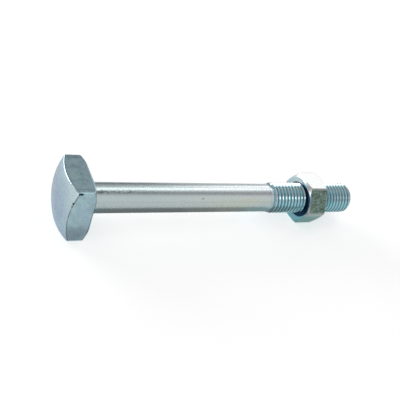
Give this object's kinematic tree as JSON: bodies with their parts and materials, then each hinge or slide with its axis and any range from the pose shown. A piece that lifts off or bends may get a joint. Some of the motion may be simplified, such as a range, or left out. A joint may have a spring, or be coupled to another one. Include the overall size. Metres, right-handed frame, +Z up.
{
  "type": "square head bolt with hexagon nut",
  "caption": "Square head bolt with a crowned head, a plain shank and a hexagon nut that runs along its threaded end.",
  "frame": {"origin": "where the shank's axis meets the plane of the head's bearing face", "axes": "+X along the shank, from the head to the threaded tip; +Z up, square to one flat of the head and one flat of the nut, which face down; the bolt lies on its side"},
  "size_m": [0.1642, 0.028, 0.028],
  "materials": {
    "plated_bolt_steel": "bright zinc plate with a clear blue passivation, over an as-forged surface",
    "plated_nut_steel": "bright zinc plate with a clear blue passivation, over a cold-formed surface"
  },
  "bodies": {
    "bolt": {"bolt": "plated_bolt_steel"},
    "nut": {"hex_nut": "plated_nut_steel"}
  },
  "joints": [
    {"name": "nut_travel", "type": "slide", "parent": "bolt", "child": "nut", "axis": [1, 0, 0], "range_m": [-0.016, 0.028]}
  ]
}
